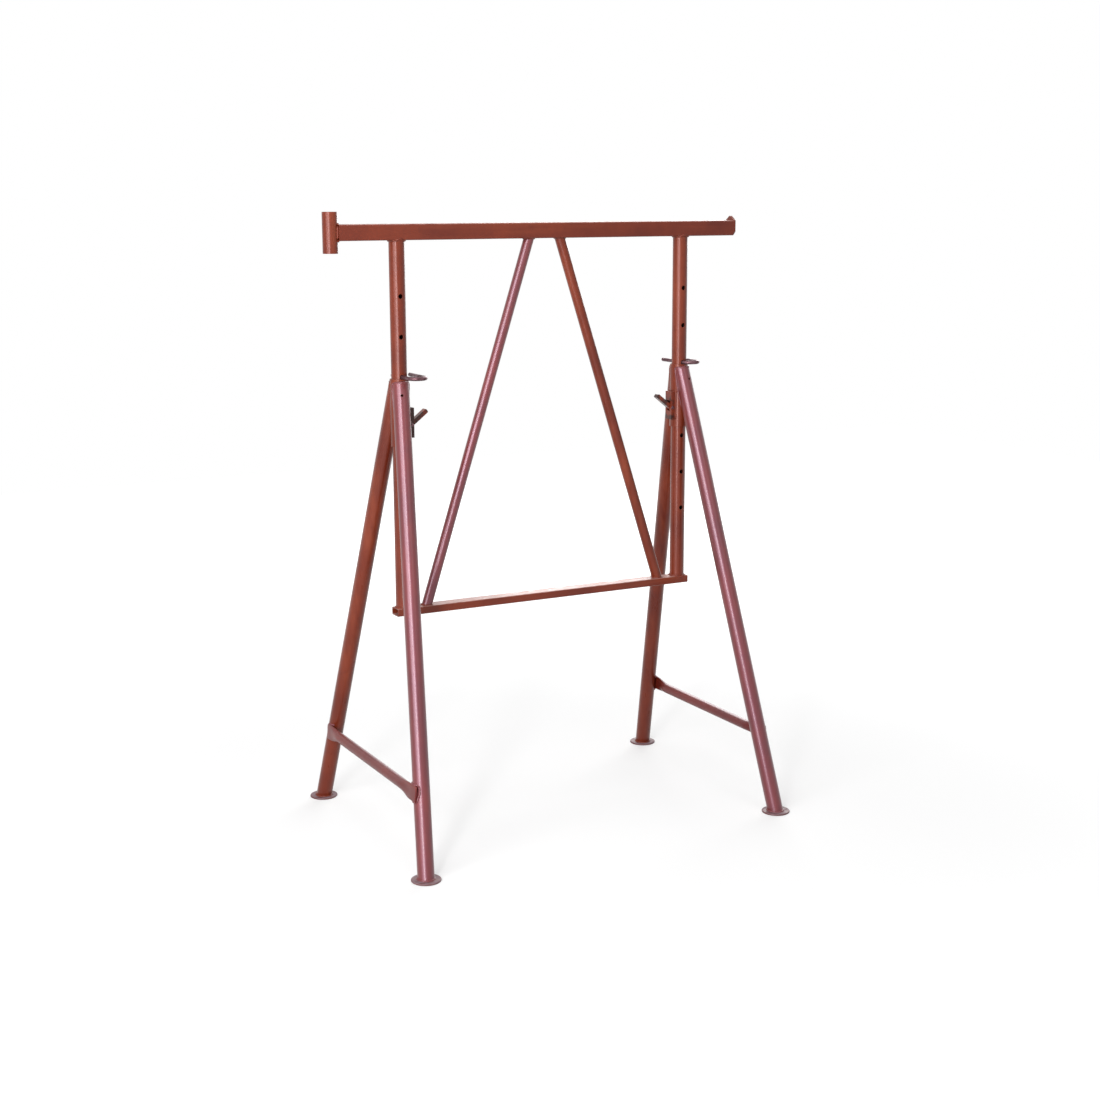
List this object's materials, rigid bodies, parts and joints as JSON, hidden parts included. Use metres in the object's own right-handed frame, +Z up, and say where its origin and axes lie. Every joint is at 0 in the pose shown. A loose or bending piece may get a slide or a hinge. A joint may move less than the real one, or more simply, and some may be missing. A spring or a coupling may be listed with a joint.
{
  "type": "builders trestle",
  "caption": "Height-adjustable builders trestle: a square-tube beam on drilled posts that telescope in splayed round-tube stands, held by loop pins.",
  "frame": {"origin": "middle of the whole trestle's footprint, on the floor", "axes": "+Z up, +X along the beam from the guard-rail socket to the end stop, +Y across the beam towards the rear feet"},
  "size_m": [1.181, 0.779, 1.6013],
  "materials": {
    "frame_paint": "satin red-oxide primer paint",
    "stand_paint": "satin red-oxide primer paint",
    "foot_paint": "dusty red-oxide primer paint",
    "worn_steel": "worn bare steel"
  },
  "bodies": {
    "upper_frame": {"top_beam": "frame_paint", "guardrail_socket": "frame_paint", "end_stop": "frame_paint", "left_post": "frame_paint", "right_post": "frame_paint", "left_brace": "frame_paint", "right_brace": "frame_paint", "bottom_tie": "frame_paint"},
    "left_stand": {"left_sleeve": "stand_paint", "left_front_leg": "stand_paint", "left_rear_leg": "stand_paint", "left_cross_tie": "stand_paint", "left_front_foot": "foot_paint", "left_rear_foot": "foot_paint", "left_lever_bracket": "stand_paint", "left_lever_pivot": "worn_steel"},
    "right_stand": {"right_sleeve": "stand_paint", "right_front_leg": "stand_paint", "right_rear_leg": "stand_paint", "right_cross_tie": "stand_paint", "right_front_foot": "foot_paint", "right_rear_foot": "foot_paint", "right_lever_bracket": "stand_paint", "right_lever_pivot": "worn_steel"},
    "left_lever": {"left_lever": "stand_paint"},
    "right_lever": {"right_lever": "stand_paint"},
    "left_pin": {"left_pin": "worn_steel"},
    "right_pin": {"right_pin": "worn_steel"}
  },
  "joints": [
    {"name": "left_height", "type": "slide", "parent": "upper_frame", "child": "left_stand", "axis": [0, 0, -1], "range_m": [0, 0.4]},
    {"name": "right_height", "type": "slide", "parent": "upper_frame", "child": "right_stand", "axis": [0, 0, -1], "range_m": [0, 0.4]},
    {"name": "left_pin_pull", "type": "slide", "parent": "upper_frame", "child": "left_pin", "axis": [0, -1, 0], "range_m": [0, 0.07]},
    {"name": "right_pin_pull", "type": "slide", "parent": "upper_frame", "child": "right_pin", "axis": [0, -1, 0], "range_m": [0, 0.11]},
    {"name": "left_grip", "type": "hinge", "parent": "left_stand", "child": "left_lever", "pos_m": [-0.3705, 0, 1.072], "axis": [0, -1, 0], "range_deg": [0, 18]},
    {"name": "right_grip", "type": "hinge", "parent": "right_stand", "child": "right_lever", "pos_m": [0.3995, 0, 1.072], "axis": [0, 1, 0], "range_deg": [0, 18]}
  ]
}
